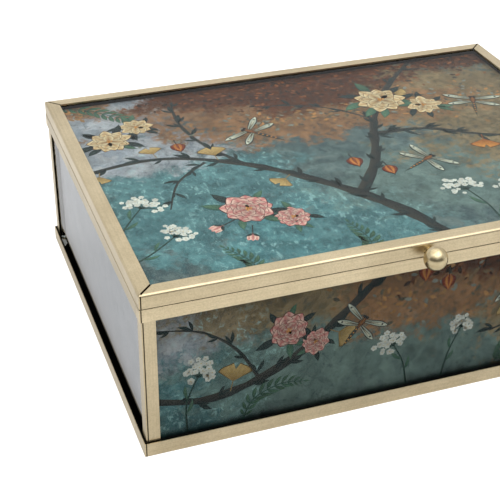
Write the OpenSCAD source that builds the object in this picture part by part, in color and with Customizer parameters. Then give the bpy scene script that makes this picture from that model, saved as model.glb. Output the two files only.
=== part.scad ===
// Hinged casket box: glass walls and a glass lid over printed sheets, held in folded brass edge strips.
// Millimetres. +Z is up, the front with the knob faces -Y, and the origin is the centre of the underside.

/* [Case] */
// Width over the base strips
case_w = 200; // [140:1:280]
// Depth over the base strips
case_d = 150; // [100:1:220]
// Height to the top of the closed lid
case_h = 65; // [45:1:110]

/* [Edge strips] */
// Thickness of the brass sheet
sheet = 0.6; // [0.5:0.05:0.8]
// Thickness of the base strips, which carry the case
base_sheet = 0.9; // [0.6:0.05:1.2]
// Outer radius of the round folds, along the top of the lid and inside the rim
fold_r = 1; // [0.9:0.05:1.3]
// Outer radius of the scored folds, which are as good as sharp
crisp_r = 0.2; // [0.1:0.05:0.25]
// Outer radius of the upright corners
corner_r = 0.35; // [0.2:0.05:0.45]
// Height of the base strips' outer face
base_face = 5.4; // [4:0.1:8]
// Width of the base strips' flange under the case
base_flange = 5.4; // [5:0.1:9]
// Width of each leg of a corner post
post_leg = 4.8; // [3:0.1:9]
// Height of the rim strips' outer face
rim_face = 4.7; // [4:0.1:8]
// Height of the rim strips' inner face
rim_inner_face = 4; // [3:0.1:8]
// Height of the lid strips' outer face
lid_face = 5.3; // [4.8:0.1:8]
// Width of the lid strips' top flange
lid_flange = 5.2; // [4.5:0.1:9]
// Width of the lip that closes the lid strips from below
lid_lip = 3.4; // [2.6:0.1:6]
// Open width of the mitre on top of the lid
lid_mitre = 0.5; // [0.2:0.05:0.8]
// Open width of the mitres on the rim and under the base
frame_mitre = 0.2; // [0.1:0.05:0.6]
// Length of the end folded round each lid corner
lid_tab = 4.2; // [2.5:0.1:12]
// Length of the end folded round each rim corner
rim_tab = 4.4; // [2.5:0.1:12]
// Length of the end folded round each base corner
base_tab = 12; // [2.5:0.1:20]
// Open joint between a folded end and the strip that it meets
tab_joint = 0.15; // [0.05:0.05:0.4]
// Slip fit between the base strips and the posts inside them
slip = 0.1; // [0.05:0.05:0.3]

/* [Glazing] */
// Thickness of the glass
glass = 2; // [1.5:0.1:2.4]
// Thickness of the printed sheet behind the glass
print_t = 0.3; // [0.15:0.05:0.5]
// Air gap between the glass and the printed sheet
print_gap = 0.2; // [0.1:0.05:0.4]
// Side play of what lies loose in the frames
play = 0.2; // [0.1:0.05:0.5]

/* [Floor] */
// Thickness of the floor board
board_t = 2; // [1.5:0.1:4]
// Thickness of the velvet pad on the floor board
pad_t = 6.1; // [3:0.1:10]

/* [Lid seat] */
// Gap between the rim and the closed lid
seam = 0.2; // [0.15:0.05:0.6]
// How far the lid stands back from the rim's face
lid_setback = 0.1; // [0.05:0.05:0.6]

/* [Hinges] */
// Length of each hinge
hinge_len = 24; // [15:1:36]
// Distance from the end of the case to the middle of a hinge
hinge_from_end = 34; // [22:1:50]
// Outer radius of the hinge knuckles
knuckle_r = 1.5; // [1.4:0.05:2]
// Radius of the hinge pins
pin_r = 0.75; // [0.5:0.05:0.9]
// Radial running clearance of the lid's knuckle on its pin
pin_play = 0.05; // [0.02:0.01:0.1]
// Gap between neighbouring knuckles
knuckle_gap = 0.25; // [0.1:0.05:0.5]
// Height of each hinge leaf on its strip
leaf_h = 4; // [3:0.1:4.5]
// Length of the peened head at each end of a pin
pin_head = 0.4; // [0.2:0.05:0.8]

/* [Knob] */
// Radius of the ball knob
knob_r = 4.1; // [3:0.1:6]
// Distance of the ball's centre from the lid's front face
knob_reach = 5.3; // [4.5:0.1:9]
// Distance of the knob's axis below the top of the lid
knob_drop = 3.2; // [2.4:0.05:3.3]
// Radius of the knob's neck
neck_r = 1.5; // [1.2:0.1:2]
// Radius of the collar against the strip
collar_r = 1.8; // [1.6:0.1:2]
// Thickness of the collar
collar_t = 0.4; // [0.3:0.1:1]
// Radius of the shank that passes through the strip
shank_r = 1; // [0.6:0.1:1.2]

/* [Hidden] */
$fn = 48;

brass = [0.76, 0.69, 0.55];
steel = [0.62, 0.62, 0.62];
clear = [0.75, 0.88, 0.88, 0.35];
paper = [0.38, 0.55, 0.56];
velvet = [0.06, 0.06, 0.07];
board = [0.35, 0.26, 0.18];

// A cutter that only has to pass right through what it cuts
beyond = 2 * (case_w + case_d + case_h);
// A cutter's overshoot past a face
past = 1;

// Each ring of the case as its distance in from the base strips' outer face
post_in = base_sheet + slip;
rim_in = post_in - sheet;
lid_in = rim_in + lid_setback;
pane_in = post_in + sheet;
print_in = pane_in + glass + print_gap;
lining_in = print_in + print_t;

// The width of the channel that the rim strips fold over posts, glass and print
rim_w = lining_in + sheet - rim_in;

// Heights
lid_z = case_h - lid_face;
rim_top = lid_z - seam;
pane_top = rim_top - fold_r;
pad_z = base_sheet + board_t;
pad_top = pad_z + pad_t;
lid_glass_z = case_h - sheet - glass;
lid_print_z = lid_glass_z - print_gap - print_t;

// The lid's own outline
lid_w = case_w - 2 * lid_in;
lid_d = case_d - 2 * lid_in;

// Hinge axis: the knuckles stand against the rim's back face, level with the seam
hinge_x = case_w / 2 - hinge_from_end;
hinge_y = case_d / 2 - rim_in + knuckle_r;
hinge_z = rim_top + seam / 2;
knuckle_len = (hinge_len - 2 * knuckle_gap) / 3;

// ---------- folded strips ----------

// A square of the given side at the origin, with the corner there eased to radius r
module eased_square(side, r) {
    translate([r, 0]) square([side - r, side]);
    translate([0, r]) square([side, side - r]);
    translate([r, r]) circle(r);
}

// The cross-section of a scored fold in sheet of thickness thick, its corner at the origin
module scored_fold(thick) eased_square(thick, crisp_r);

// The cross-section of a round fold: a quarter ring with its centre at the origin
module round_fold() {
    intersection() {
        difference() {
            circle(fold_r);
            circle(fold_r - sheet);
        }
        translate([-fold_r, 0]) square(fold_r);
    }
}

// Strip sections: x runs in from the outer face, and y up. The lid's and rim's hang down from 0.
module lid_section() {
    translate([fold_r, -fold_r]) round_fold();
    translate([fold_r, -sheet]) square([lid_flange - fold_r, sheet]);
    translate([0, sheet - lid_face]) square([sheet, lid_face - sheet - fold_r]);
    translate([0, -lid_face]) scored_fold(sheet);
    translate([sheet, -lid_face]) square([lid_lip - sheet, sheet]);
}

module rim_section() {
    translate([0, -rim_face]) square([sheet, rim_face - sheet]);
    mirror([0, 1]) scored_fold(sheet);
    translate([sheet, -sheet]) square([rim_w - sheet - fold_r, sheet]);
    translate([rim_w - fold_r, -fold_r]) mirror([1, 0]) round_fold();
    translate([rim_w - sheet, -rim_inner_face]) square([sheet, rim_inner_face - fold_r]);
}

module base_section() {
    translate([0, base_sheet]) square([base_sheet, base_face - base_sheet]);
    scored_fold(base_sheet);
    translate([base_sheet, 0]) square([base_flange - base_sheet, base_sheet]);
}

// A section run along the front edge of a w by d ring
module along_front(w, d) {
    translate([fold_r - w / 2, -d / 2, 0])
        rotate([90, 0, 90])
            linear_extrude(w - 2 * fold_r) children();
}

// The outer fold_r of a section, turned square round the ring's front left corner
module turned_corner(w, d) {
    translate([-w / 2, -d / 2, 0]) intersection() {
        for (side = [0, 1]) mirror([side, -side, 0]) intersection() {
            rotate([90, 0, 90]) linear_extrude(fold_r) children();
            translate([0, 0, -beyond / 2]) linear_extrude(beyond)
                polygon([[0, 0], [fold_r, 0], [fold_r, fold_r]]);
        }
        translate([0, 0, -beyond / 2]) linear_extrude(beyond) eased_square(fold_r, corner_r);
    }
}

// Plan of one mitred strip, with its outer edge shortened by back at both ends
function mitre_plan(w, d, wide, open, back) = let (
    half = w / 2,
    front = -d / 2,
    half_open = open * sqrt(2) / 2
) [
    [back + fold_r - half, front - past],
    [half - fold_r - back, front - past],
    [half - fold_r - back, front + fold_r],
    [half - fold_r - half_open, front + fold_r],
    [half - wide - half_open - past, front + wide + past],
    [wide + half_open + past - half, front + wide + past],
    [fold_r + half_open - half, front + fold_r],
    [back + fold_r - half, front + fold_r],
];

module mitred(w, d, wide, open, back) {
    intersection() {
        along_front(w, d) children();
        translate([0, 0, -beyond / 2])
            linear_extrude(beyond) polygon(mitre_plan(w, d, wide, open, back));
    }
}

// A front strip: mitred inside, its wall turned at both corners and run on along the sides as tabs
module long_strip(w, d, wide, open, tab, thick, low, high) {
    mitred(w, d, wide, open, 0) children();
    for (side = [0, 1]) mirror([side, 0, 0]) {
        turned_corner(w, d) children();
        translate([-w / 2, fold_r - d / 2, low]) cube([thick, tab - fold_r, high - low]);
    }
}

// A strip between two such tabs, drawn along the front of its own ring. Its wall stops short of them.
module short_strip(w, d, wide, open, tab, thick, low, high) {
    difference() {
        mitred(w, d, wide, open, tab_joint) children();
        for (side = [0, 1]) mirror([side, 0, 0])
            translate([-w / 2 - past, -d / 2 - past, low - tab_joint])
                cube([tab + tab_joint + past, thick + past, high - low + 2 * tab_joint]);
    }
}

// Turns what is drawn for the front to the back, the left or the right
module to_back() rotate([0, 0, 180]) children();
module to_left() rotate([0, 0, -90]) children();
module to_right() rotate([0, 0, 90]) children();

// ---------- base ----------

// The base tabs stand just clear of the neighbour's flange
base_tab_z = base_sheet + tab_joint;

module base_long() {
    color(brass)
        long_strip(case_w, case_d, base_flange, frame_mitre, base_tab, base_sheet, base_tab_z, base_face)
            base_section();
}

module base_short() {
    color(brass)
        short_strip(case_d, case_w, base_flange, frame_mitre, base_tab, base_sheet, base_tab_z,
            base_face + past) base_section();
}

module base_strip_front() base_long();
module base_strip_back() to_back() base_long();
module base_strip_left() to_left() base_short();
module base_strip_right() to_right() base_short();

// A folded angle that stands on the base flange and ends under the rim's ledge
module post() {
    translate([post_in - case_w / 2, post_in - case_d / 2, base_sheet])
        color(brass) linear_extrude(pane_top - base_sheet) difference() {
            eased_square(post_leg, corner_r);
            translate([sheet, sheet]) square(post_leg);
        }
}

module post_front_left() post();
module post_front_right() mirror([1, 0, 0]) post();
module post_back_left() mirror([0, 1, 0]) post();
module post_back_right() to_back() post();

module rim_long() {
    color(brass) translate([0, 0, rim_top])
        long_strip(case_w - 2 * rim_in, case_d - 2 * rim_in, rim_w, frame_mitre, rim_tab, sheet,
            -rim_face, -fold_r) rim_section();
}

module rim_short() {
    color(brass) translate([0, 0, rim_top])
        short_strip(case_d - 2 * rim_in, case_w - 2 * rim_in, rim_w, frame_mitre, rim_tab, sheet,
            -rim_face - past, -fold_r) rim_section();
}

module rim_strip_front() rim_long();
module rim_strip_back() to_back() rim_long();
module rim_strip_left() to_left() rim_short();
module rim_strip_right() to_right() rim_short();

// An upright sheet along the front of a w by d ring, its outer face at the distance in
module upright(w, d, in, short_by, thick, low, high) {
    translate([short_by - w / 2, in - d / 2, low])
        cube([w - 2 * short_by, thick, high - low]);
}

// The long panes reach almost to the side posts. The short ones stand between them.
module pane_long() color(clear)
    upright(case_w, case_d, pane_in, pane_in + play, glass, base_sheet, pane_top);
module pane_short() color(clear)
    upright(case_d, case_w, pane_in, pane_in + glass, glass, base_sheet, pane_top);

module pane_front() pane_long();
module pane_back() to_back() pane_long();
module pane_left() to_left() pane_short();
module pane_right() to_right() pane_short();

// The printed sheets stand on the floor pad, behind the glass, the short ones between the long ones
module print_long() color(paper)
    upright(case_w, case_d, print_in, pane_in + glass + play, print_t, pad_top, pane_top);
module print_short() color(paper)
    upright(case_d, case_w, print_in, lining_in, print_t, pad_top, pane_top);

module print_front() print_long();
module print_back() to_back() print_long();
module print_left() to_left() print_short();
module print_right() to_right() print_short();

// A level sheet whose edge lies at the distance in from the case
module level(in, low, thick) {
    translate([in - case_w / 2, in - case_d / 2, low])
        cube([case_w - 2 * in, case_d - 2 * in, thick]);
}

module floor_board() color(board) level(pane_in + glass + play, base_sheet, board_t);
module floor_pad() color(velvet) level(pane_in + glass + play, pad_z, pad_t);
module underside_felt() color(velvet) level(base_flange + play, 0, base_sheet);

// ---------- lid ----------

// The lid's tabs stand just clear of the neighbour's lower fold
lid_tab_z = sheet + tab_joint - lid_face;

module lid_long() {
    color(brass) translate([0, 0, case_h])
        long_strip(lid_w, lid_d, lid_flange, lid_mitre, lid_tab, sheet, lid_tab_z, -fold_r) lid_section();
}

module lid_short() {
    color(brass) translate([0, 0, case_h])
        short_strip(lid_d, lid_w, lid_flange, lid_mitre, lid_tab, sheet, lid_tab_z, -fold_r) lid_section();
}

// From the lid's front face, along -Y, at the knob's height
module at_knob() translate([0, -lid_d / 2, case_h - knob_drop]) rotate([90, 0, 0]) children();

module lid_strip_front() {
    difference() {
        lid_long();
        at_knob() translate([0, 0, -sheet - past]) cylinder(r = shank_r, h = sheet + 2 * past);
    }
}
module lid_strip_back() to_back() lid_long();
module lid_strip_left() to_left() lid_short();
module lid_strip_right() to_right() lid_short();

// The lid's stack: glass under the flange, then the print, then a backing board on the lip
module lid_pane() color(clear) level(lid_in + fold_r, lid_glass_z, glass);
module lid_print() color(paper) level(lid_in + fold_r, lid_print_z, print_t);
module lid_backing() color(board) level(lid_in + fold_r, lid_z + sheet, lid_print_z - lid_z - sheet);

// A ball on a short neck and collar, with its shank through the strip's wall
module knob() {
    color(brass) at_knob() rotate_extrude() {
        intersection() {
            translate([0, knob_reach]) circle(knob_r);
            square([knob_r, knob_reach + knob_r]);
        }
        square([neck_r, knob_reach]);
        square([collar_r, collar_t]);
        translate([0, -sheet]) square([shank_r, knob_reach]);
    }
}

// ---------- hinges ----------

// A barrel of one knuckle, from start along +X on the hinge's axis
module knuckle(start, bore_r) {
    translate([start, 0, 0]) rotate([90, 0, 90]) linear_extrude(knuckle_len) difference() {
        circle(knuckle_r);
        circle(bore_r);
    }
}

// A leaf's plate: back face at y, from the axis to its free edge, with round free corners
module leaf_plate(y, up) {
    corner = sheet;
    translate([0, y, 0]) rotate([90, 0, 0]) translate([0, 0, -sheet]) linear_extrude(sheet)
        mirror([0, up > 0 ? 0 : 1]) {
            translate([-hinge_len / 2, 0]) square([hinge_len, leaf_h - corner]);
            translate([corner - hinge_len / 2, 0]) square([hinge_len - 2 * corner, leaf_h]);
            for (x = [-1, 1]) translate([x * (hinge_len / 2 - corner), leaf_h - corner]) circle(corner);
        }
}

// Room for a knuckle of the other leaf, from start along +X
module knuckle_room(start, length) {
    translate([start, -beyond, -knuckle_r - knuckle_gap])
        cube([length, 2 * beyond, 2 * (knuckle_r + knuckle_gap)]);
}

knuckle_starts = [for (i = [0:2]) i * (knuckle_len + knuckle_gap) - hinge_len / 2];

// The leaf on the rim's back face, with the two outer knuckles that grip the pin
module base_leaf() {
    color(brass) difference() {
        union() {
            difference() {
                leaf_plate(-knuckle_r, -1);
                knuckle_room(knuckle_starts[1] - knuckle_gap, knuckle_len + 2 * knuckle_gap);
            }
            knuckle(knuckle_starts[0], pin_r);
            knuckle(knuckle_starts[2], pin_r);
        }
        rotate([0, 90, 0]) cylinder(r = pin_r, h = beyond, center = true);
    }
}

// The leaf on the lid's back face, with the middle knuckle that turns on the pin
module lid_leaf() {
    color(brass) difference() {
        union() {
            difference() {
                translate([0, 0, seam / 2]) leaf_plate(-knuckle_r - lid_setback, 1);
                for (i = [0, 2]) knuckle_room(
                    i == 0 ? -hinge_len : knuckle_starts[2] - knuckle_gap,
                    i == 0 ? knuckle_starts[1] + hinge_len : hinge_len);
            }
            knuckle(knuckle_starts[1], pin_r + pin_play);
        }
        rotate([0, 90, 0]) cylinder(r = pin_r + pin_play, h = beyond, center = true);
    }
}

module hinge_pin() {
    color(steel) rotate([0, 90, 0]) {
        cylinder(r = pin_r, h = hinge_len + 2 * pin_head, center = true);
        for (side = [0, 1]) mirror([0, 0, side])
            translate([0, 0, hinge_len / 2]) cylinder(r = (pin_r + knuckle_r) / 2, h = pin_head);
    }
}

module at_hinge(side) translate([side * hinge_x, hinge_y, hinge_z]) children();

module hinge_left_base_leaf() at_hinge(-1) base_leaf();
module hinge_right_base_leaf() at_hinge(1) base_leaf();
module hinge_left_pin() at_hinge(-1) hinge_pin();
module hinge_right_pin() at_hinge(1) hinge_pin();
module hinge_left_lid_leaf() at_hinge(-1) lid_leaf();
module hinge_right_lid_leaf() at_hinge(1) lid_leaf();

base_strip_front();
base_strip_back();
base_strip_left();
base_strip_right();
post_front_left();
post_front_right();
post_back_left();
post_back_right();
rim_strip_front();
rim_strip_back();
rim_strip_left();
rim_strip_right();
pane_front();
pane_back();
pane_left();
pane_right();
print_front();
print_back();
print_left();
print_right();
floor_board();
floor_pad();
underside_felt();
hinge_left_base_leaf();
hinge_right_base_leaf();
hinge_left_pin();
hinge_right_pin();
lid_strip_front();
lid_strip_back();
lid_strip_left();
lid_strip_right();
lid_pane();
lid_print();
lid_backing();
knob();
hinge_left_lid_leaf();
hinge_right_lid_leaf();
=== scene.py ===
# %% [markdown]
# # A glass casket for papers and keepsakes
# The box is made the way a small workshop makes one. Strips of thin brass are folded over the edges of
# glass, and a printed sheet lies behind every pane. Its solid parts are drawn already, in metres, with the
# middle of the underside at the origin and the front towards -Y. This lesson gives them their finishes, adds
# the soft and painted pieces, and lights them as for a shop's photograph.

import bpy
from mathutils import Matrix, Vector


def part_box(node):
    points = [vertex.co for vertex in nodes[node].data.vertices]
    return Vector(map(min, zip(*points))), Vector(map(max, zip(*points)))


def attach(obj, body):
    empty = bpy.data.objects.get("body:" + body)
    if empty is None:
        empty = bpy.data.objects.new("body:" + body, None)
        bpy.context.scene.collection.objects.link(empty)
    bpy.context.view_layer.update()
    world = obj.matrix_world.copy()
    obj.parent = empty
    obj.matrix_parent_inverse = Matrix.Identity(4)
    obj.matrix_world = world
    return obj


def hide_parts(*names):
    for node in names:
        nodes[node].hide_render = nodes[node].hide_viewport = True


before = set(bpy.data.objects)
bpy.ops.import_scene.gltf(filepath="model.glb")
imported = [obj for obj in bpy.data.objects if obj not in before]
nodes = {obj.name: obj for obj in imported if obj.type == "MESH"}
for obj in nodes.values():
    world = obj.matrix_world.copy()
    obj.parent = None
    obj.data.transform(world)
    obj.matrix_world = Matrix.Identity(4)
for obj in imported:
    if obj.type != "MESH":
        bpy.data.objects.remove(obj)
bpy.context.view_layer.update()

# %% [markdown]
# ## Tools
# Blender's own modules come next. A millimetre is the natural unit for a box of this size, so lengths are
# written in millimetres and multiplied by `MM`.

# %% Tools and units
import math
import random

import bmesh
import bpy
from mathutils import Matrix, Quaternion, Vector

MM = 0.001

# %% [markdown]
# ## The camera
# The photographer stood to the left of the box and looked down on its front left corner, near enough for the
# right end to leave the picture. A camera could be dragged into place by eye. Here its place was worked out
# from the box's known edges, so it is given as two angles round the object, a distance and a slight tilt.

# %% The camera
AIM = Vector((-40.52, -11.22, 32.5)) * MM
DISTANCE = 450.77 * MM
TURNED, RAISED, TILTED = -0.3434, 0.5602, 0.0099
SENSOR_WIDTH, FOCAL_LENGTH = 36, 85.65
NEAREST = 10 * MM

flat = math.cos(RAISED)
away = Vector((math.sin(TURNED) * flat, -math.cos(TURNED) * flat, math.sin(RAISED)))
camera_data = bpy.data.cameras.new("camera")
camera_data.sensor_width = SENSOR_WIDTH
camera_data.lens = FOCAL_LENGTH
camera_data.clip_start = NEAREST
camera = bpy.data.objects.new("camera", camera_data)
camera.location = AIM + DISTANCE * away
camera.rotation_mode = "QUATERNION"
camera.rotation_quaternion = (-away).to_track_quat("-Z", "Y") @ Quaternion((0, 0, 1), TILTED)
bpy.context.scene.collection.objects.link(camera)
bpy.context.scene.camera = camera
print("camera at, mm:", [round(v / MM, 1) for v in camera.location])

# %% [markdown]
# ## Small helpers for materials
# Every finish here is a network of nodes, drawn from the object's own coordinates, so that it stays on the
# piece when the piece moves. A network could be wired by hand in the shader editor. Here a few helpers do
# it: they add and feed a node, do a step of arithmetic, mix two colours or shaders, turn a number into a
# colour through a ramp, and make noise.

# %% Feed and add nodes
def feed(tree, value, socket):
    """Joins an output to a socket, or sets the socket to a plain value."""
    if isinstance(value, bpy.types.NodeSocket):
        tree.links.new(value, socket)
    else:
        socket.default_value = value


def add(tree, kind, options=None, **inputs):
    """A new shader node. Inputs are given by name, with _ for a space."""
    made = tree.nodes.new("ShaderNode" + kind)
    for name, value in (options or {}).items():
        setattr(made, name, value)
    for name, value in inputs.items():
        feed(tree, value, made.inputs[name.replace("_", " ")])
    return made


def maths(tree, operation, *numbers):
    """One step of arithmetic on up to three numbers. Those that are left out are 0."""
    made = add(tree, "Math", {"operation": operation})
    for socket, number in zip(made.inputs, (*numbers, 0.0, 0.0)):
        feed(tree, number, socket)
    return made.outputs[0]


def times(tree, number, *factors):
    """Numbers multiplied together."""
    for factor in factors:
        number = maths(tree, "MULTIPLY", number, factor)
    return number


def length_of(tree, vector):
    """The length of a vector."""
    made = add(tree, "VectorMath", {"operation": "LENGTH"})
    feed(tree, vector, made.inputs[0])
    return made.outputs["Value"]


# %% Mix colours and run ramps
def chip(red, green, blue):
    """A paint chip, read off a screen as 0 to 255, as the linear colour that Blender works in."""
    part = [v / 255 for v in (red, green, blue)]
    return (*[v / 12.92 if v <= 0.04045 else ((v + 0.055) / 1.055) ** 2.4 for v in part], 1)


def mixed(tree, amount, first, second, blend="MIX"):
    """Two colours mixed, with amount as the share of the second."""
    made = add(tree, "Mix", {"data_type": "RGBA", "blend_type": blend}, Factor=amount)
    feed(tree, first, made.inputs[6])
    feed(tree, second, made.inputs[7])
    return made.outputs[2]


def either(tree, share, first, second):
    """Two shaders mixed, with share as the part of the second."""
    made = add(tree, "MixShader")
    for socket, value in zip(made.inputs, (share, first, second)):
        feed(tree, value, socket)
    return made.outputs[0]


def ramp(tree, number, stops, smooth=True):
    """Turns a number into a colour. Stops are (place, colour), and a number in a colour's place is a grey."""
    made = add(tree, "ValToRGB", Fac=number)
    made.color_ramp.interpolation = "EASE" if smooth else "LINEAR"
    while len(made.color_ramp.elements) < len(stops):
        made.color_ramp.elements.new(0.5)
    for element, (share, colour) in zip(made.color_ramp.elements, stops):
        element.position = share
        element.color = colour if isinstance(colour, tuple) else (colour, colour, colour, 1)
    return made.outputs["Color"]


# %% Noise and blank materials
def place(tree, scale=(1, 1, 1), shift=(0, 0, 0)):
    """The piece's own coordinates in metres, scaled along each axis and then shifted."""
    where = add(tree, "TexCoord").outputs["Object"]
    return add(tree, "Mapping", Vector=where, Scale=scale, Location=shift).outputs["Vector"]


def axes(tree, where=None):
    """Three outputs, X, Y and Z, of the piece's own coordinates or of other ones."""
    return add(tree, "SeparateXYZ", Vector=place(tree) if where is None else where).outputs


def noise(tree, where, scale=1.0, detail=4.0, roughness=0.5, distortion=0.0):
    """A cloudy number from 0 to 1, mostly near a half."""
    made = add(tree, "TexNoise", Vector=where, Scale=scale, Detail=detail, Roughness=roughness)
    made.inputs["Distortion"].default_value = distortion
    return made.outputs["Fac"]


def blank(name):
    """A new material with one Principled shader. Gives the material, its tree and that shader."""
    made = bpy.data.materials.new(name)
    made.use_nodes = True
    return made, made.node_tree, made.node_tree.nodes["Principled BSDF"]


def bump(tree, shader, height, depth, strength=1.0):
    """Raises the shader's surface by height, a number from 0 to 1, times depth in metres."""
    raised = add(tree, "Bump", Height=height, Distance=depth, Strength=strength)
    tree.links.new(raised.outputs["Normal"], shader.inputs["Normal"])


def coat(names, material):
    """Gives drawn parts a finish."""
    for name in names:
        nodes[name].material_slots[0].material = material
    print(material.name, "on", len(names), "parts")


# %% [markdown]
# ## Brass strip
# The frames are thin sheet, plated a pale champagne gold and brushed along its length before folding. Real
# brushing is thousands of parallel scratches. They could be modelled with an anisotropic shader, but the
# scratches here are so fine that stretched noise in the roughness and a trace of bump look the same. Each
# strip is brushed its own way, so there is one finish per direction.
# Where two pieces of sheet meet, thin dark lines are painted in: painted shade along the level joints, under
# the rim's edge and down the lid's mitres, and a painted dark reflection up each corner. They are drawn by
# place as well. The foot's strips and the posts are painted near black, as shade, on the sides that face into
# the box, so that no bright metal shows behind the edge of the glass.

# %% Painted shade where sheets meet
SKIN = 0.25 * MM  # how deep a strip's outer face is taken to be
FOLD_IN, FOLD_WIDE = 0.62 * MM, 0.42 * MM
SLIT_WIDE, SLIT_STOP = 1.15 * MM, 0.9 * MM
SLIT_AT_BACK = 0.4  # the back mitres fit closer, so their line is weaker


def thin_line(tree, number, middle, width):
    """1 where number is within a third of a width of middle, fading to 0 by two thirds. All are in metres."""
    off = maths(tree, "ABSOLUTE", maths(tree, "SUBTRACT", number, middle))
    return ramp(tree, times(tree, off, 1 / width), [(0.34, 1.0), (0.62, 0.0)])


def outer_reach(names):
    """How far some drawn parts reach along X and along Y."""
    return [max(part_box(name)[1][axis] for name in names) for axis in (0, 1)]


def painted_joint_shade(tree, ring, levels, mitred):
    """How dark the painted shade, and the painted dark reflection up the corners, is from 0 to 1 on a ring's
    parts. Levels are (height, width in mm).
    """
    wide, deep = outer_reach(ring)
    here = axes(tree)
    along, back = [maths(tree, "ABSOLUTE", here[axis]) for axis in "XY"]
    on_face = maths(tree, "GREATER_THAN", back, deep - SKIN)
    dark = times(tree, thin_line(tree, along, wide - FOLD_IN, FOLD_WIDE), on_face)
    for level, width in levels:
        dark = maths(tree, "MAXIMUM", dark, thin_line(tree, here["Z"], level, width * MM))
    if mitred:
        from_end = maths(tree, "SUBTRACT", along, wide)
        off = maths(tree, "SUBTRACT", from_end, maths(tree, "SUBTRACT", back, deep))
        at_front = maths(tree, "LESS_THAN", here["Y"], 0)
        depth = maths(tree, "MULTIPLY_ADD", at_front, 1 - SLIT_AT_BACK, SLIT_AT_BACK)
        stop = maths(tree, "LESS_THAN", along, wide - SLIT_STOP)
        slit = times(tree, thin_line(tree, off, 0, SLIT_WIDE), depth, stop)
        dark = maths(tree, "MAXIMUM", dark, slit)
    return dark


# %% Brushed brass
ALONG = {"x": (26, 2100, 2100), "y": (2100, 26, 2100), "z": (2100, 2100, 26)}
FLANGE_TOP = 0.8 * MM


def painted_shade_inside(tree, ring):
    """Where painted shade goes: 1 on the sides of a ring's parts that face into the box, above the flanges,
    and 0 elsewhere.
    """
    here = axes(tree)
    inside = maths(tree, "GREATER_THAN", here["Z"], FLANGE_TOP)
    for axis, reach in zip("XY", outer_reach(ring)):
        within = maths(tree, "LESS_THAN", maths(tree, "ABSOLUTE", here[axis]), reach - SKIN)
        inside = times(tree, inside, within)
    return inside


def brushed_brass(name, along, names, ring=None, levels=(), mitred=False, black=False, painted_light=1.0):
    """Satin brass on some drawn parts. Ring is the whole frame, whose corners place the painted dark lines.
    """
    material, tree, shader = blank(name)
    scratches = noise(tree, place(tree, ALONG[along]), detail=3, roughness=0.6)
    tarnish = noise(tree, place(tree), 38, detail=5, roughness=0.62)
    speckle = noise(tree, place(tree), 1900, detail=2)
    tone = ramp(tree, tarnish, [(0.3, chip(196, 180, 147)), (0.7, chip(212, 196, 163))])
    # Painted light: a whole strip is made lighter or darker by one factor.
    tone = mixed(tree, 1.0, tone, (painted_light, painted_light, painted_light, 1), "MULTIPLY")
    tone = mixed(tree, 0.7, tone, ramp(tree, scratches, [(0.3, 0.84), (0.7, 1.0)]), "MULTIPLY")
    tone = mixed(tree, 0.6, tone, ramp(tree, speckle, [(0.35, 0.82), (0.6, 1.0)]), "MULTIPLY")
    dark = painted_joint_shade(tree, ring or names, levels, mitred)
    # Painted shade in the joints and slits, and a painted dark reflection up the corners, darken the brass.
    tone = mixed(tree, times(tree, dark, 0.98 if mitred else 0.86), tone, chip(46, 37, 22))
    # Painted shade: the inner sides are made near black, so that they and their reflection in the glass read
    # as the dark recess at the edge of the glass.
    if black:
        inside = painted_shade_inside(tree, ring or names)
        tone = mixed(tree, inside, tone, chip(16, 15, 12))
        dark = maths(tree, "MAXIMUM", dark, inside)
    feed(tree, tone, shader.inputs["Base Color"])
    rough = maths(tree, "MULTIPLY_ADD", scratches, 0.16, 0.26)
    feed(tree, maths(tree, "MAXIMUM", rough, dark), shader.inputs["Roughness"])
    shader.inputs["Metallic"].default_value = 1
    bump(tree, shader, scratches, 0.006 * MM, 0.5)
    coat(names, material)


# %% One finish for each pair of strips, the posts and the hinge leaves
SIDES = ("front", "back", "left", "right")
LID_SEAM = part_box("lid_strip_front")[0][2]
BASE_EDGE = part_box("base_strip_front")[1][2]
RIM_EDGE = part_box("rim_strip_front")[0][2]
# For each ring: its level joints as (height, width in mm), which carry painted shade, whether it is mitred,
# and whether its inner sides are painted black as shade.
RINGS = {
    "base_strip_": ((), False, True),
    "rim_strip_": (((LID_SEAM, 0.3),), False, False),
    "lid_strip_": (((LID_SEAM, 0.26),), True, False),
}
# Painted light: the front and back strips of the rim and lid are lighter and the rim's end strips darker, as
# light falls on them.
PAINTED_LIGHT = {"rim_strip_front": 1.12, "rim_strip_left": 0.88, "lid_strip_front": 1.05}
for ring, (levels, mitred, black) in RINGS.items():
    for pair, along in ((SIDES[:2], "x"), (SIDES[2:], "y")):
        painted_light = PAINTED_LIGHT.get(ring + pair[0], 1.0)
        names, whole = [[ring + side for side in sides] for sides in (pair, SIDES)]
        brushed_brass("brass_" + ring + pair[0], along, names, whole, levels, mitred, black, painted_light)
# Painted shadow under the rim's lower edge, and painted shade where the posts meet the foot's strip.
POST_SHADE_LINES = ((RIM_EDGE, 0.7), (BASE_EDGE, 0.5))
posts = sorted(name for name in nodes if name.startswith("post_"))
leaves = sorted(name for name in nodes if name.endswith("_leaf"))
brushed_brass("brass_posts", "z", posts, levels=POST_SHADE_LINES, black=True)
brushed_brass("brass_hinge_leaf", "x", leaves)

# %% [markdown]
# ## Knob and hinge pins
# The knob is turned and polished, so it is smoother than the strips and shows soft rings round its axis. A
# ring pattern could be a wave texture. Distance from the axis through a noise gives rings of uneven width,
# as a hand-held polishing cloth leaves them. The pins are plain steel wire, drawn along X.

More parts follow.
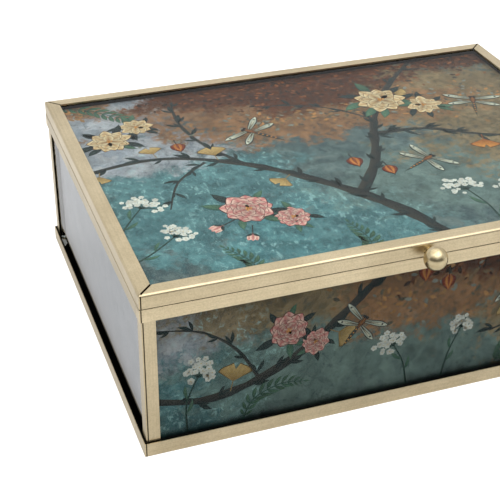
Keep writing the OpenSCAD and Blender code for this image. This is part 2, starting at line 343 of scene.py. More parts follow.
# %% Polished brass and steel wire
def polished_brass(name, axis_x, axis_z):
    """Turned and polished brass, with rings round an axis that runs along Y."""
    material, tree, shader = blank(name)
    here = axes(tree, place(tree, shift=(-axis_x, 0, -axis_z)))
    across = add(tree, "CombineXYZ", X=here["X"], Z=here["Z"]).outputs["Vector"]
    along = add(tree, "CombineXYZ", X=length_of(tree, across), Y=here["Y"]).outputs["Vector"]
    rings = noise(tree, along, 2400, detail=2)
    smear = noise(tree, place(tree), 420, detail=6, roughness=0.7)
    tone = ramp(tree, smear, [(0.35, chip(182, 166, 130)), (0.7, chip(206, 191, 156))])
    feed(tree, tone, shader.inputs["Base Color"])
    feed(tree, maths(tree, "MULTIPLY_ADD", rings, 0.12, 0.17), shader.inputs["Roughness"])
    shader.inputs["Metallic"].default_value = 1
    bump(tree, shader, smear, 0.03 * MM, 0.5)
    return material


def steel_wire(name):
    """Plain steel wire with fine drawn lines along X."""
    material, tree, shader = blank(name)
    drawn = noise(tree, place(tree, (60, 3000, 3000)), detail=3)
    tone = ramp(tree, drawn, [(0.3, chip(168, 166, 162)), (0.7, chip(196, 194, 190))])
    feed(tree, tone, shader.inputs["Base Color"])
    feed(tree, ramp(tree, drawn, [(0.3, 0.24), (0.7, 0.4)]), shader.inputs["Roughness"])
    shader.inputs["Metallic"].default_value = 1
    bump(tree, shader, drawn, 0.004 * MM, 0.5)
    return material


knob_middle = [(low + high) / 2 for low, high in zip(*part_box("knob"))]
coat(["knob"], polished_brass("brass_polished", knob_middle[0], knob_middle[2]))
coat(["hinge_left_pin", "hinge_right_pin"], steel_wire("steel_wire"))

# %% [markdown]
# ## Glass
# Each pane is 2 mm float glass. A refracting shader would be truest, but light reaches the print behind it
# only by chance paths, and the picture would turn dark and grainy. So the pane lets light straight through
# and adds a mirror whose strength follows the angle, by the Fresnel law. The print is bonded to the inner
# face, so only the outer face shines, and a low index keeps that shine thin when looked at squarely. The rim
# of the lid's pane, under the frame, is painted matt black as painted shade. It makes the mitre slits dark
# and makes the dark line round the picture.

# %% Clear glass
SHADE_RIM_START = 0.3 * MM


def clear_glass(name):
    """Glass that lets light straight through and mirrors a little from its outer face."""
    material, tree, unused = blank(name)
    tree.nodes.remove(unused)
    smear = noise(tree, place(tree), 45, detail=4, roughness=0.6)
    through = add(tree, "BsdfTransparent", Color=(0.96, 0.985, 0.98, 1)).outputs[0]
    shine = add(tree, "BsdfGlossy", Color=(1, 1, 1, 1))
    feed(tree, ramp(tree, smear, [(0.3, 0.015), (0.75, 0.05)]), shine.inputs["Roughness"])
    share = add(tree, "Fresnel", IOR=1.17).outputs["Fac"]
    outer = either(tree, share, through, shine.outputs[0])
    inner_side = add(tree, "NewGeometry").outputs["Backfacing"]
    surface = tree.nodes["Material Output"].inputs["Surface"]
    feed(tree, either(tree, inner_side, outer, through), surface)
    return material


def glass_with_painted_shade(name):
    """Clear glass with its rim, which lies under the lid's flange, painted matt black as painted shade."""
    material = clear_glass(name)
    tree = material.node_tree
    here = axes(tree)
    rim = 0.0
    for axis, strip in enumerate(("lid_strip_right", "lid_strip_back")):
        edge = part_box(strip)[0][axis] + SHADE_RIM_START
        out = maths(tree, "GREATER_THAN", maths(tree, "ABSOLUTE", here[axis]), edge)
        rim = maths(tree, "MAXIMUM", rim, out)
    # Painted shade: the rim is a matt black, not glass.
    shade_rim = add(tree, "BsdfDiffuse", Color=chip(12, 12, 12)).outputs[0]
    surface = tree.nodes["Material Output"].inputs["Surface"]
    feed(tree, either(tree, rim, surface.links[0].from_socket, shade_rim), surface)
    return material


coat(["pane_" + side for side in SIDES], clear_glass("glass_clear"))
coat(["lid_pane"], glass_with_painted_shade("glass_shade_rim"))

# %% [markdown]
# ## The printed sheets: their ground
# Behind the glass lies a printed sheet with the look of an old wall painting: a worn teal wash, with clouds
# of pale grey, tan, rust and bright turquoise. A paint program would be the usual way. Nodes do it without a
# picture file: each cloud is a ragged patch round a centre, filled with small dabs between two tints, and
# worn streaks and grain go over everything. The sheet's border, which the frame covers, is printed black.

# %% Dabs, clouds and wear
CLOUDS = {
    "pale": (chip(130, 140, 152), chip(182, 182, 182)),
    "tan": (chip(94, 82, 58), chip(156, 134, 100)),
    "rust": (chip(46, 20, 8), chip(102, 52, 22)),
    "amber": (chip(98, 78, 58), chip(166, 118, 78)),
    "bright": (chip(56, 102, 110), chip(100, 152, 154)),
    "painted_reflection": (chip(146, 147, 150), chip(158, 157, 158)),
    "slate": (chip(88, 108, 104), chip(120, 142, 134)),
}
RAGGED_EDGE, DABBED_EDGE = 3.6, 0.7


def dabs(tree, size, seed, ragged=1.3):
    """Random tones from 0 to 1 in ragged patches, like dabs of a flat brush of a size in millimetres."""
    here = place(tree, [1 / (size * MM)] * 3, (seed, seed / 2, 0))
    push = add(tree, "TexNoise", Vector=here, Scale=1.8, Detail=5.0, Roughness=0.7).outputs["Color"]
    moved = add(tree, "VectorMath", {"operation": "MULTIPLY_ADD"})
    feed(tree, push, moved.inputs[0])
    moved.inputs[1].default_value = (ragged, ragged, ragged)
    feed(tree, here, moved.inputs[2])
    cells = add(tree, "TexVoronoi", Vector=moved.outputs["Vector"], Scale=1.0).outputs["Color"]
    return add(tree, "SeparateColor", Color=cells).outputs[0]


def cloud(tree, paint, tints, centre, reach, edge, dab, most):
    """Lays a ragged cloud over the paint. Centre and reach are in millimetres, edge and dab are noises."""
    here = place(tree, [1 / (r * MM) for r in reach], [-c / r for c, r in zip(centre, reach)])
    depth = maths(tree, "SUBTRACT", times(tree, edge, RAGGED_EDGE), length_of(tree, here))
    depth = maths(tree, "ADD", depth, times(tree, dab, DABBED_EDGE))
    share = ramp(tree, times(tree, depth, 0.5), [(0.36, 0.0), (0.64, most)])
    filled = mixed(tree, share, paint, ramp(tree, dab, [(0.0, tints[0]), (1.0, tints[1])], smooth=False))
    return filled, share


# %% A worn wash
WASH_TINTS = (chip(68, 88, 92), chip(80, 102, 104), chip(94, 114, 112), chip(116, 128, 122))
SMUDGE_TINTS = (chip(66, 60, 52), chip(78, 96, 98), chip(108, 118, 114), chip(150, 146, 132))
WASH = list(zip((0.3, 0.44, 0.56, 0.7), WASH_TINTS))
SMUDGE = list(zip((0.3, 0.45, 0.58, 0.7), SMUDGE_TINTS))


def blended(tree, first, second):
    """Two noises in equal parts."""
    return maths(tree, "MULTIPLY_ADD", maths(tree, "ADD", first, second), 0.5)


def worn_wash(tree, seed, clouds, wear=1.0):
    """The paint of one sheet. Clouds are (kind, centre, reach). Wear, from 0 to 1, is how uneven it is."""
    plain = place(tree, shift=(seed, seed / 3, 0))
    wash = noise(tree, plain, 30, detail=8, roughness=0.7, distortion=0.2)
    mottle = noise(tree, plain, 120, detail=8, roughness=0.74, distortion=0.4)
    edge = noise(tree, place(tree, shift=(seed + 5, 1, 2)), 46, detail=10, roughness=0.76)
    leafy = noise(tree, place(tree, shift=(seed + 9, 4, 2)), 190, detail=5, roughness=0.66)
    broad = blended(tree, dabs(tree, 5, seed), leafy)
    small = blended(tree, dabs(tree, 1.9, seed + 3), leafy)

    paint = ramp(tree, wash, WASH)
    paint = mixed(tree, 0.45, paint, ramp(tree, mottle, SMUDGE))
    bright = 0.0
    for kind, centre, reach in clouds:
        filling = small if kind in ("rust", "amber", "tan") else broad
        most = 0.75 if kind in ("bright", "slate") else 0.94
        paint, share = cloud(tree, paint, CLOUDS[kind], centre, reach, edge, filling, most)
        if kind == "bright":
            bright = maths(tree, "MAXIMUM", bright, share)

    paint = mixed(tree, 0.6 * wear, paint, ramp(tree, mottle, [(0.38, 0.5), (0.6, 1.0)]), "MULTIPLY")
    blocks = ramp(tree, dabs(tree, 9, seed + 11, 0.6), [(0.0, 0.62), (1.0, 1.0)], smooth=False)
    paint = mixed(tree, 0.6 * wear, paint, blocks, "MULTIPLY")
    along = place(tree, (420, 260, 420), (seed, 1, 0))
    scrape = noise(tree, along, detail=7, roughness=0.78, distortion=0.5)
    patchy = ramp(tree, wash, [(0.4, 0.35), (0.6, 1.0)])
    scraped = ramp(tree, scrape, [(0.54, 0.0), (0.6, 0.75)])
    pale = times(tree, maths(tree, "MULTIPLY_ADD", bright, 0.8, 0.08 * wear), patchy, scraped)
    paint = mixed(tree, pale, paint, chip(158, 198, 196))
    return mixed(tree, ramp(tree, scrape, [(0.38, 0.5 * wear), (0.45, 0.0)]), paint, chip(46, 62, 66))


# %% A painted ground
GLOOM = 3.4  # the height in millimetres over which the gloom at a wall's foot fades


def painted_ground(name, seed, clouds, across, window, tone, foot=None, wear=1.0):
    """
    The print of one sheet. Across are the sheet's two axes. Window is how far, in metres, its picture
    reaches along each of them: two pairs of low and high. Foot is a height in millimetres, below which the
    print is in gloom.
    """
    material, tree, shader = blank(name)
    paint = worn_wash(tree, seed, clouds, wear)
    grain = noise(tree, place(tree), 1500, detail=3, roughness=0.7)
    paint = mixed(tree, 0.6, paint, ramp(tree, grain, [(0.25, 0.8), (0.75, 1.0)]), "MULTIPLY")
    paint = mixed(tree, 1.0, paint, (*tone, 1), "MULTIPLY")
    here = axes(tree)
    # Painted shade: the print is darkest below the foot and lightens over GLOOM millimetres above it.
    if foot is not None:
        gloom = maths(tree, "MULTIPLY_ADD", here["Z"], 1 / (GLOOM * MM), -foot / GLOOM)
        paint = mixed(tree, 1.0, paint, ramp(tree, gloom, [(0.0, 0.12), (1.0, 1.0)]), "MULTIPLY")
    border = 0.0
    for axis, (low, high) in zip(across, window):
        for side, edge in (("LESS_THAN", low), ("GREATER_THAN", high)):
            border = maths(tree, "MAXIMUM", border, maths(tree, side, here[axis], edge))
    paint = mixed(tree, border, paint, chip(16, 15, 15))
    feed(tree, paint, shader.inputs["Base Color"])
    shader.inputs["Roughness"].default_value = 0.55
    shader.inputs["Specular IOR Level"].default_value = 0.1
    return material, tree, shader


def lined(made, axis, outer, sign):
    """Makes the side of a sheet that faces into the box black. Its outer face lies at outer along axis."""
    material, tree, shader = made
    compare = "LESS_THAN" if sign > 0 else "GREATER_THAN"
    inner = maths(tree, compare, axes(tree)[axis], outer - sign * 0.05 * MM)
    paint = shader.inputs["Base Color"].links[0].from_socket
    feed(tree, mixed(tree, inner, paint, chip(28, 27, 29)), shader.inputs["Base Color"])
    return material


# %% The lid's ground
FAR = 1000  # further than any sheet reaches, in millimetres
LID_HEIGHT = 62  # of the lid's sheet, roughly, in millimetres
LID_TONE = (0.98, 0.95, 0.96)
SEEN_UNDER = 2.2 * MM
# Each cloud's kind, its centre and its reach, both along X and Y in millimetres.
LID_CLOUDS = (
    ("bright", -66, -22, 40, 36),
    ("bright", -22, -54, 36, 20),
    ("pale", -92, 58, 44, 36),
    ("pale", -70, 22, 26, 14),
    ("slate", 40, -30, 44, 26),
    ("tan", 76, 22, 42, 46),
    ("tan", 40, 50, 30, 30),
    ("amber", 6, 32, 50, 15),
    ("amber", -18, 52, 50, 20),
    ("amber", -92, 68, 16, 8),
    ("rust", -24, 66, 36, 15),
    ("rust", 8, 54, 26, 15),
    ("rust", 26, 70, 26, 9),
    ("rust", 82, 68, 24, 11),
)


def frame_window(left, right, low, high, across, upward):
    """The opening of a frame, from the inner edges of its four strips or posts."""
    edges = [(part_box(left)[1][across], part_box(right)[0][across])]
    edges.append((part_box(low)[1][upward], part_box(high)[0][upward]))
    return edges


lid_window = frame_window("lid_strip_left", "lid_strip_right", "lid_strip_front", "lid_strip_back", 0, 1)
lid_window = [(low, high + SEEN_UNDER) for low, high in lid_window]
clouds = [(kind, (x, y, LID_HEIGHT), (wide, deep, FAR)) for kind, x, y, wide, deep in LID_CLOUDS]
coat(["lid_print"], painted_ground("print_ground_lid", 0.0, clouds, "XY", lid_window, LID_TONE)[0])
print("lid window, mm:", [[round(v / MM, 1) for v in pair] for pair in lid_window])

# %% [markdown]
# ## The walls' sheets
# On a real box the printed sheet of a wall runs down to the floor board, and the pad is pushed in against it.
# The drawn sheets end at the top of the pad, and a drawn part may take a new finish but not a new shape. So
# each wall gets a new sheet in the same gap, from the old one's top edge down to the board. It is a block
# with eased edges, black on the side that faces into the box. Its foot lies in gloom, because little light
# gets in between the pad and the strip. The two ends are plain pale sheets without clouds of warm colour.

# %% A plate or block with eased edges
def new_piece(name, shape):
    """A piece made from a bmesh, which is freed."""
    data = bpy.data.meshes.new(name)
    shape.to_mesh(data)
    shape.free()
    made = bpy.data.objects.new(name, data)
    bpy.context.scene.collection.objects.link(made)
    return made


def apply_modifiers(made):
    """Turns what the modifiers show at this frame into the piece's own mesh."""
    shown = made.evaluated_get(bpy.context.evaluated_depsgraph_get())
    data = bpy.data.meshes.new_from_object(shown)
    made.modifiers.clear()
    made.data = data


def soft_block(name, low, high, rounding, voxel=None):
    """A block with round edges. With a voxel size, in metres, its faces are cut into an even net."""
    block = bmesh.new()
    size = [b - a for a, b in zip(low, high)]
    middle = [(a + b) / 2 for a, b in zip(low, high)]
    bmesh.ops.create_cube(block, size=1, matrix=Matrix.Translation(middle) @ Matrix.Diagonal((*size, 1)))
    edges = {"affect": "EDGES", "segments": 3, "profile": 0.5, "material": -1}
    bmesh.ops.bevel(block, geom=block.edges[:], offset=rounding, **edges)
    made = new_piece(name, block)
    if voxel:
        remesh = made.modifiers.new("net", "REMESH")
        remesh.mode = "VOXEL"
        remesh.voxel_size = voxel
        remesh.use_smooth_shade = True
        apply_modifiers(made)
    return made


# %% The walls' sheets
FLOOR_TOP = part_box("floor_board")[1][2]
WALL_LOW = FLOOR_TOP + 0.3 * MM  # where the picture on a wall's sheet starts
FOOT = 3.2  # the height in millimetres below which it is darkest
OFF_BOARD, EASED = 0.05 * MM, 0.04 * MM
# Painted light: the front and back sheets are printed darker, as painted shade of the walls, and the end
# sheets paler, as a painted reflection of the pale room.
WALL_SHADE_TONE, END_REFLECTION_TONE = (0.86, 0.83, 0.83), (1.27, 1.2, 1.28)
# Each cloud's kind, its centre along the wall and up it, and its reach along and up, in millimetres.
WALL_CLOUDS = (
    ("bright", -82, 28, 24, 28),
    ("slate", -40, 30, 40, 26),
    ("slate", 8, 20, 50, 18),
    ("pale", -84, 46, 20, 11),
    ("tan", -58, 52, 26, 12),
    ("tan", -28, 52, 30, 13),
    ("tan", 66, 40, 44, 26),
    ("amber", 8, 44, 30, 13),
    ("amber", 46, 50, 24, 10),
    ("rust", 28, 54, 24, 9),
)
# The grey clouds on the end sheets are a painted reflection of the pale room.
END_CLOUDS = [("painted_reflection", (0, 0, height), (FAR, 120, 60)) for height in (44, 30)]
# Each wall's side, the axis it faces along, which way along it, and the seed of its paint.
WALLS = (("front", 1, -1, 16), ("back", 1, 1, 15), ("left", 0, -1, 13), ("right", 0, 1, 18))


def face_of(node, axis, outward):
    """The place of a sheet's outer face along an axis."""
    low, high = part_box(node)
    return high[axis] if outward > 0 else low[axis]


def wall_sheet(side, material):
    """A wall's printed sheet, from the old one's top edge down to the floor board."""
    low, high = [Vector(corner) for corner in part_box("print_" + side)]
    low.z = FLOOR_TOP + OFF_BOARD
    made = soft_block("sheet_" + side, low, high, EASED)
    made.data.materials.append(material)
    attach(made, "base")
    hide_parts("print_" + side)
    print(made.name, "is", round((high.z - low.z) / MM, 1), "mm tall")


for side, axis, outward, seed in WALLS:
    name = "print_ground_" + side
    run = 1 - axis
    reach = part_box("post_back_right")[0][run]
    window = [(-reach, reach), (WALL_LOW, RIM_EDGE)]
    if side in ("left", "right"):
        made = painted_ground(name, seed, END_CLOUDS, "YZ", window, END_REFLECTION_TONE, wear=0.25)
    else:
        clouds = [(kind, (-outward * x, 0, z), (wide, FAR, tall)) for kind, x, z, wide, tall in WALL_CLOUDS]
        made = painted_ground(name, seed, clouds, "XZ", window, WALL_SHADE_TONE, FOOT)
    wall_sheet(side, lined(made, axis, face_of("print_" + side, axis, outward), outward))

# %% [markdown]
# ## The printed sheets: brush marks
# Over the ground goes a garden of sprays, blossoms, seed lanterns and dragonflies in generic forms. They
# could be drawn in a texture, but marks made as thin inlays of ink stay sharp at any distance and export as
# real shapes. Each mark starts as a small grid. Its rows are squeezed to an outline, it may bend, and every
# corner keeps a colour in an attribute called `paint`. Sheets are laid out flat, in millimetres, with +Z as
# the height of the ink.

# %% One brush mark
PAINT = "paint"
PETAL = (0.24, 0.66, 0.92, 1.0, 0.88, 0.4)
LEAF = (0.08, 0.62, 0.96, 1.0, 0.66, 0.05)
LANCE = (0.15, 0.8, 1.0, 0.72, 0.38, 0.03)
DAB = (0.35, 1.0, 0.8, 0.12)
WING = (0.3, 0.55, 0.78, 0.96, 1.0, 0.55)
POD = (0.3, 0.94, 1.0, 0.86, 0.5, 0.04)


def between(first, second, share):
    """A colour or number part way from the first to the second."""
    return [a + (b - a) * share for a, b in zip(first, second)]


def toward(way):
    """The flat vector one unit long that heads the given way."""
    return Vector((math.cos(way), math.sin(way)))


def mark(art, root, heading, length, width, outline, level, tints, across=2, bend=0.0):
    """One brush mark. Tints are its colours at the root, at the tip and along its edges."""
    rows = len(outline) - 1
    paint = art.verts.layers.float_color[PAINT]
    turn = Matrix.Rotation(heading, 2)
    for corner in bmesh.ops.create_grid(art, x_segments=rows, y_segments=across, size=1)["verts"]:
        share = (corner.co.x + 1) / 2
        side = corner.co.y
        half = width / 2 * outline[round(share * rows)]
        reach = share * (1 + 0.1 * (1 - side * side) * share**3)
        curl = bend * reach
        middle = Vector((reach, 0))
        if bend:
            middle = Vector((math.sin(curl) / bend, (1 - math.cos(curl)) / bend))
        sideways = Vector((-math.sin(curl), math.cos(curl)))
        spot = Vector(root) + turn @ (middle * length + sideways * side * half)
        corner.co = (spot.x, spot.y, level)
        corner[paint] = between(between(tints[0], tints[1], share), tints[2], abs(side) ** 1.5)


def dot(art, centre, radius, level, tint, corners=7):
    """A round touch of the brush."""
    paint = art.verts.layers.float_color[PAINT]
    spot = Matrix.Translation((*centre, level))
    made = bmesh.ops.create_circle(art, cap_ends=True, segments=corners, radius=radius, matrix=spot)
    for corner in made["verts"]:
        corner[paint] = tint


# %% A smooth line, for stems and boughs
def on_line(points, share):
    """The place and heading at a share of the way along a smooth line through points."""
    spans = len(points) - 1
    span = min(int(share * spans), spans - 1)
    f = share * spans - span
    a, b, c, d = [Vector(points[max(0, min(spans, span + k))]) for k in (-1, 0, 1, 2)]
    second, third = 2 * a - 5 * b + 4 * c - d, 3 * b - a - 3 * c + d
    slope = (c - a) + 2 * f * second + 3 * f * f * third
    return b + 0.5 * ((c - a) * f + second * f**2 + third * f**3), math.atan2(slope.y, slope.x)


def stem(art, points, thick, thin, level, tints, gnarl=0.0, dice=None):
    """A tapering line. Gnarl makes its width uneven, as on old wood."""
    paint = art.verts.layers.float_color[PAINT]
    steps = 5 * (len(points) - 1)
    widths = [1 + gnarl * (dice.random() - 0.4 if dice else 0) for _ in range(steps + 1)]
    for corner in bmesh.ops.create_grid(art, x_segments=steps, y_segments=2, size=1)["verts"]:
        share = (corner.co.x + 1) / 2
        side = corner.co.y
        spot, heading = on_line(points, share)
        half = (thick + (thin - thick) * share) / 2 * widths[round(share * steps)]
        spot += toward(heading + math.pi / 2) * side * half
        corner.co = (*spot, level)
        corner[paint] = between(tints[0], tints[1], (side + 1) / 2)


# %% [markdown]
# ## The printed sheets: what is painted
# The motifs are common ones from painted screens: boughs with narrow leaves, fan leaves turned amber, round
# many-petalled blossoms, umbels of tiny white flowers, fern fronds, papery seed lanterns and dragonflies.
# Each function draws one motif from marks. The colours keep to the ones that suit the ground: slate, cream,
# blush, amber and white. A crown of autumn leaves is hundreds of dabs, thickest in the middle.

# %% Colours of the motifs
BARK = (chip(30, 35, 37), chip(58, 56, 50))
LEAF_DARK = (chip(24, 36, 38), chip(42, 56, 52), chip(26, 36, 38))
LEAF_GREEN = (chip(44, 72, 62), chip(92, 122, 92), chip(50, 84, 72))
AMBER = (chip(140, 78, 36), chip(206, 138, 66), chip(170, 102, 48))
OCHRE = (chip(142, 112, 66), chip(200, 168, 110), chip(164, 132, 80))
WHITE = chip(232, 230, 220)
INK = chip(26, 26, 30)
BLUSH = (chip(126, 34, 46), chip(204, 122, 118), chip(236, 202, 184))
CREAM = (chip(112, 58, 28), chip(204, 166, 116), chip(232, 212, 172))
AUTUMN = [chip(36, 22, 16), chip(50, 30, 20), chip(70, 41, 25), chip(92, 55, 32), chip(122, 72, 40)]
DUSK = [chip(84, 78, 66), chip(112, 92, 68), chip(140, 104, 66), chip(166, 118, 70), chip(120, 122, 112)]


def shaded(tints, amount):
    """The same tints, lighter or darker."""
    return [(*[min(1, v * amount) for v in tint[:3]], 1) for tint in tints]


# %% Leaves, fans and crowns
def leaf(art, root, heading, length, tints, level, bend=0.0, width=0.3):
    """A pointed leaf. Its width is a share of its length."""
    mark(art, root, heading, length, length * width, LEAF, level, tints, bend=bend)


def fan(art, root, heading, size, level, tints, spread=0.95, cleft=0.36, across=12):
    """A fan-shaped mark: a grid wrapped round its root, with a cleft in the middle of its rim."""
    paint = art.verts.layers.float_color[PAINT]
    for corner in bmesh.ops.create_grid(art, x_segments=4, y_segments=across, size=1)["verts"]:
        share = (corner.co.x + 1) / 2
        side = corner.co.y
        column = round((side + 1) / 2 * across)
        short = cleft if column == across // 2 else 0.05 * abs(side) + 0.03 * math.sin(5 * column)
        reach = size * (0.06 + 0.94 * share * (1 - share * short))
        spot = Vector(root) + toward(heading + spread * side) * reach
        corner.co = (spot.x, spot.y, level)
        rib = 1.0 if column % 2 else 0.86
        tint = between(between(tints[0], tints[1], share), tints[2], abs(side) ** 3)
        corner[paint] = shaded([tint], rib)[0]


def fan_leaf(art, root, heading, size, tints, level=0.05):
    """A fan leaf on its thin stalk, over a darker one that outlines it."""
    stalk = Vector(root) - toward(heading) * size * 0.55
    stem(art, [stalk, Vector(root) + toward(heading) * size * 0.08], 0.4, 0.3, level, (tints[0], tints[0]))
    fan(art, root, heading, size * 1.05, level + 0.002, shaded([tints[0]] * 3, 0.45), spread=1.0)
    fan(art, root, heading, size, level + 0.004, tints)


def crown(art, dice, centre, reach, count, tints, long=2.6, level=0.008):
    """A crown of autumn leaves: small dabs round a centre, thickest in the middle."""
    for number in range(count):
        away = Vector((dice.gauss(0, reach[0] / 2), dice.gauss(0, reach[1] / 2)))
        tone = shaded([dice.choice(tints)], dice.uniform(0.75, 1.15))[0]
        size = long * dice.uniform(0.6, 1.2)
        over = level + 0.0006 * (number % 30)
        way = dice.uniform(0, math.tau)
        mark(art, Vector(centre) + away, way, size, size * 0.56, DAB, over, [tone] * 3, across=1)


def bough(art, dice, points, thick, thin, level=0.03, leaves=14, size=9.0, fans=()):
    """A bough with narrow leaves on both sides. Fans are the shares of its length where a fan leaf hangs."""
    stem(art, points, thick, thin, level, BARK, gnarl=0.6, dice=dice)
    for number in range(leaves):
        share = (number + 0.6 + dice.uniform(-0.3, 0.3)) / (leaves + 0.3)
        spot, heading = on_line(points, share)
        side = 1 if number % 2 else -1
        for lean in (0.5, 1.05):
            out = heading + side * (lean + dice.uniform(-0.2, 0.2))
            tone = shaded(LEAF_DARK, dice.uniform(0.8, 1.3))
            long = size * dice.uniform(0.6, 1.05)
            over = level + 0.008 + 0.0005 * number
            leaf(art, spot, out, long, tone, over, bend=-side * 0.5, width=0.25)
    for share in fans:
        spot, heading = on_line(points, share)
        out = heading + dice.choice((-1, 1)) * dice.uniform(1.0, 1.6)
        tone = shaded(dice.choice((AMBER, OCHRE)), dice.uniform(0.85, 1.1))
        fan_leaf(art, spot + toward(out) * 4.5, out, dice.uniform(5.5, 7.5), tone)


def frond(art, dice, points, size, level=0.04, pairs=11):
    """A fern frond: pairs of leaflets that grow and shrink again along a thin rib."""
    stem(art, points, 0.6, 0.25, level, (LEAF_GREEN[0], LEAF_GREEN[0]))
    for pair in range(pairs):
        share = (pair + 1) / (pairs + 1)
        spot, heading = on_line(points, share)
        long = size * math.sin(math.pi * (0.18 + 0.76 * share))
        for side in (-1, 1):
            tone = shaded(LEAF_GREEN, dice.uniform(0.75, 1.1))
            leaf(art, spot, heading + side, long, tone, level + 0.003, bend=-side * 0.6, width=0.32)
    tip, heading = on_line(points, 1)
    leaf(art, tip, heading, size * 0.5, LEAF_GREEN, level + 0.003)


# %% Blossoms
PETAL_RINGS = ((1.0, 9), (0.82, 8), (0.64, 7), (0.46, 6), (0.3, 5))
OPEN = {"rings": 3, "plump": 0.84, "collar": 8}


def blossom(art, dice, centre, radius, tints, level=0.09, collar=6, rings=5, plump=1.08):
    """A round blossom: a collar of dark leaves, then rings of petals, each over a darker outline."""
    turn = dice.uniform(0, math.tau)
    for number in range(collar):
        way = turn + math.tau * number / collar + dice.uniform(-0.35, 0.35)
        tone = shaded(dice.choice((LEAF_DARK, LEAF_DARK, LEAF_GREEN)), dice.uniform(0.8, 1.2))
        long = radius * dice.uniform(0.85, 1.25)
        root = Vector(centre) + toward(way) * radius * 0.6
        way += dice.uniform(-0.4, 0.4)
        leaf(art, root, way, long, tone, level - 0.006, dice.uniform(-0.6, 0.6), width=0.34)
    for ring, (reach, count) in enumerate(PETAL_RINGS[:rings]):
        start = dice.uniform(0, math.tau)
        for petal in range(count):
            heading = start + math.tau * petal / count + dice.uniform(-0.12, 0.12)
            length = radius * reach * dice.uniform(0.86, 1.04)
            wide = math.tau * radius * reach / count * plump
            over = level + 0.006 * ring + 0.0022 * (petal % 2)
            tone = shaded(tints, dice.uniform(0.82, 1.05) * (1 - 0.08 * ring))
            under = shaded([tints[0]] * 3, 0.5)
            mark(art, centre, heading, length * 1.03, wide * 1.08, PETAL, over - 0.0011, under)
            mark(art, centre, heading, length, wide, PETAL, over, tone)
    for seed in range(9):
        away = toward(seed * 2.4) * radius * 0.04 * seed**0.6
        dot(art, Vector(centre) + away, radius * 0.04, level + 0.045, AMBER[1], 6)


def bud(art, root, heading, size, tints, level=0.07):
    """A closed bud on a short stalk, held by two dark leaves."""
    stem(art, [Vector(root) - toward(heading) * size * 1.2, root], 0.5, 0.4, level, BARK)
    for lean in (-0.34, 0.34, 0.0):
        mark(art, root, heading + lean, size, size * 0.5, PETAL, level + 0.004 - 0.004 * abs(lean), tints)
    for side in (-1, 1):
        leaf(art, root, heading + side * 0.6, size * 0.7, LEAF_DARK, level + 0.006, side * 0.5, 0.36)


# %% Umbels, lanterns and dragonflies
DOWN = -1.57


def floret(art, dice, spot, radius, level):
    """A tiny white flower: five round petals about a warm middle."""
    turn = dice.uniform(0, math.tau)
    tone = shaded([WHITE], dice.uniform(0.62, 0.88))[0]
    for petal in range(5):
        middle = spot + toward(turn + math.tau * petal / 5) * radius * 0.56
        dot(art, middle, radius * 0.5, level + 0.001 * (petal % 3), tone, 6)
    dot(art, spot, radius * 0.2, level + 0.004, OCHRE[1], 5)


def umbel(art, dice, points, spread, level=0.05, ribs=9):
    """A stalk along points that ends in fine ribs, with tiny flowers at their ends."""
    dark = (LEAF_DARK[0], LEAF_GREEN[0])
    stem(art, points, 0.8, 0.45, level, dark)
    top, heading = on_line(points, 1)
    for number in range(ribs):
        lean = heading + (number / (ribs - 1) - 0.5) * 2.7
        long = spread * dice.uniform(0.55, 1.15)
        tip = top + toward(lean) * long
        middle = (top + tip) / 2 + toward(heading) * long * 0.1
        stem(art, [top, middle, tip], 0.34, 0.22, level + 0.003, dark)
        for touch in range(3):
            away = toward(lean + (0, 0.5, -0.6)[touch]) * dice.uniform(1.7, 2.6) * touch
            floret(art, dice, tip - away, dice.uniform(0.85, 1.35), level + 0.012 + 0.006 * touch)
    for side in (-1, 1):
        spot, slope = on_line(points, 0.45 + 0.12 * side)
        way = slope + side * 0.7
        leaf(art, spot, way, spread * 0.9, LEAF_GREEN, level + 0.002, bend=-side * 0.6, width=0.22)


def lantern(art, dice, top, size, level=0.1):
    """A papery seed lantern that hangs from top."""
    tone = shaded(AMBER, dice.uniform(0.92, 1.12))
    below = toward(DOWN) * size
    stem(art, [Vector(top) - below * 0.5, Vector(top) + below * 0.08], 0.5, 0.4, level, BARK)
    rust = (chip(112, 44, 26), chip(176, 84, 42), chip(98, 38, 26))
    mark(art, top, DOWN, size * 1.05, size * 0.93, POD, level + 0.002, shaded([rust[2]] * 3, 0.5))
    mark(art, top, DOWN, size, size * 0.86, POD, level + 0.004, rust, across=4)
    mark(art, top, DOWN, size * 0.96, size * 0.5, POD, level + 0.006, tone, across=4)
    mark(art, top, DOWN, size * 0.92, size * 0.14, POD, level + 0.008, shaded(rust, 0.9))


